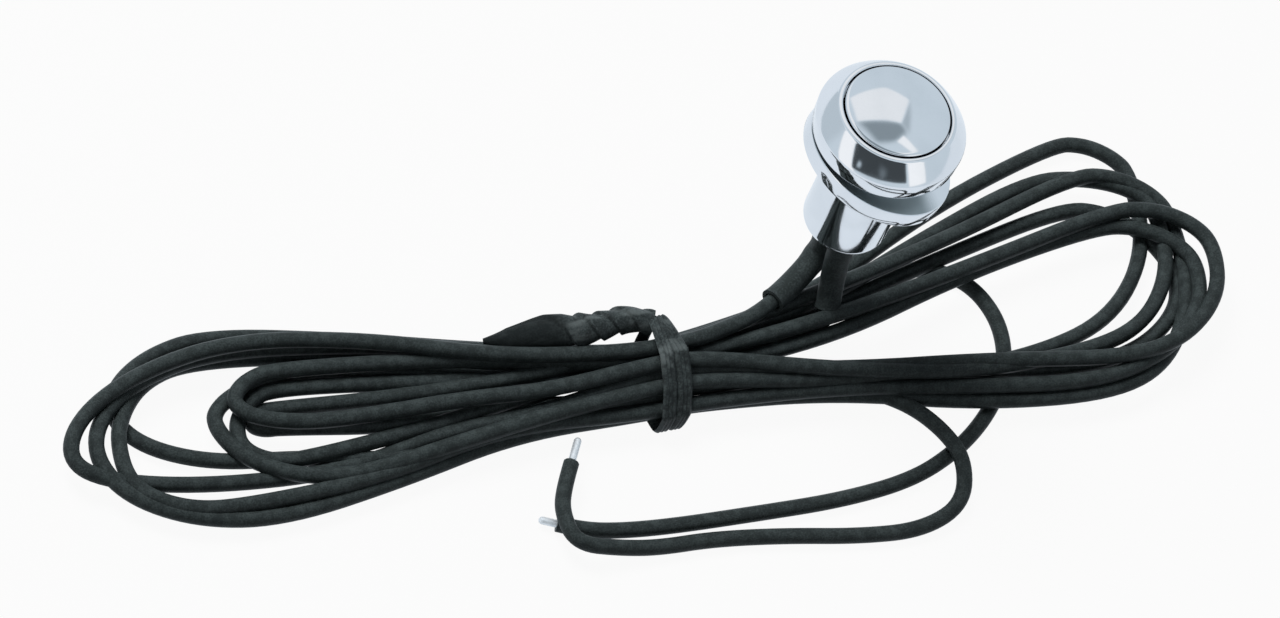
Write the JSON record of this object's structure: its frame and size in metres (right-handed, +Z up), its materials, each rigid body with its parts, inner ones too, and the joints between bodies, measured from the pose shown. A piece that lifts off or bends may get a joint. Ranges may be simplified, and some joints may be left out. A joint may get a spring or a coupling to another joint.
{
  "type": "pushbutton switch",
  "caption": "Round chromed panel pushbutton with a domed cap, smooth barrel and loose ring, its sleeved black leads folded into a flat hank held by a twist tie.",
  "frame": {"origin": "centre of the bezel's underside, where the panel seats, on the switch's axis", "axes": "+Z up along the switch's axis, out of the button; +X along the folded leads, towards the wider loops; the leads lie on the floor below"},
  "size_m": [0.1378, 0.045, 0.0383],
  "materials": {
    "chrome_plate": "polished chrome plating on brass",
    "lead_pvc": "satin black insulation",
    "shrink_sleeve": "satin black heat-shrink tubing",
    "tie_plastic": "satin black band over a wire core",
    "tinned_copper": "tinned strands",
    "solder": "smooth solder",
    "insulator": "dark moulded insulator",
    "contact_brass": "stamped brass",
    "spring_steel": "drawn steel wire"
  },
  "bodies": {
    "switch": {"switch_housing": "chrome_plate", "loose_ring": "chrome_plate", "return_spring": "spring_steel", "contact_base": "insulator", "terminal_a": "contact_brass", "terminal_b": "contact_brass", "solder_joint_a": "solder", "solder_joint_b": "solder", "sleeve_a": "shrink_sleeve", "sleeve_b": "shrink_sleeve", "lead_a_start": "lead_pvc", "lead_b_start": "lead_pvc", "wire_hank": "lead_pvc", "twist_tie": "tie_plastic", "lead_a_tail": "lead_pvc", "lead_b_tail": "lead_pvc", "lead_a_tip": "tinned_copper", "lead_b_tip": "tinned_copper"},
    "button": {"button_cap": "chrome_plate", "stem_clip": "spring_steel", "plunger": "insulator", "contact_bridge": "contact_brass"}
  },
  "joints": [
    {"name": "button_press", "type": "slide", "parent": "switch", "child": "button", "axis": [0, 0, -1], "range_m": [0, 0.0015], "stiffness_N_per_m": 667, "springref_m": -0.0018, "deforming": ["return_spring"]}
  ]
}
